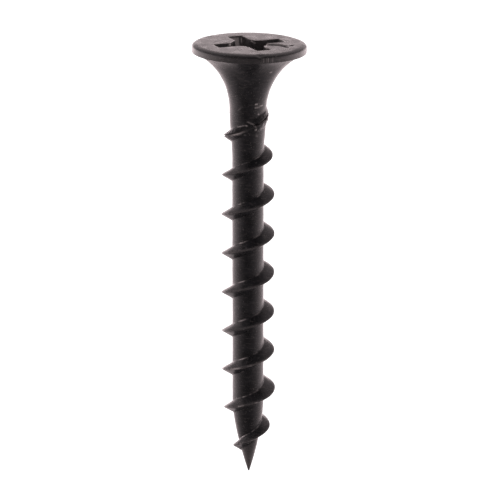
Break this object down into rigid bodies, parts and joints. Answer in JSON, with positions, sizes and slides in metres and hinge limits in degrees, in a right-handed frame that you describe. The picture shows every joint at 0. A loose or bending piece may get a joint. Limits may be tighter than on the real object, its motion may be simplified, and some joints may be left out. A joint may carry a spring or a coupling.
{
  "type": "bugle-head wood screw",
  "caption": "Steel wood screw with a flat bugle head, cross recess, coarse right-hand thread and sharp point, for driving into timber or board.",
  "frame": {"origin": "centre of the flat top face of the head, on the screw's axis, at the level of the recess mouth", "axes": "+Z along the screw's axis, out of the head; the point hangs at the bottom in -Z; +X and +Y are free, and the recess wings lie 24.5 degrees from them"},
  "size_m": [0.0078, 0.0078, 0.031],
  "materials": {
    "black_phosphate": "dark grey phosphate coat on steel, dry satin"
  },
  "bodies": {
    "root": {"head": "black_phosphate", "shank": "black_phosphate", "core": "black_phosphate", "thread": "black_phosphate", "point": "black_phosphate"}
  },
  "joints": []
}
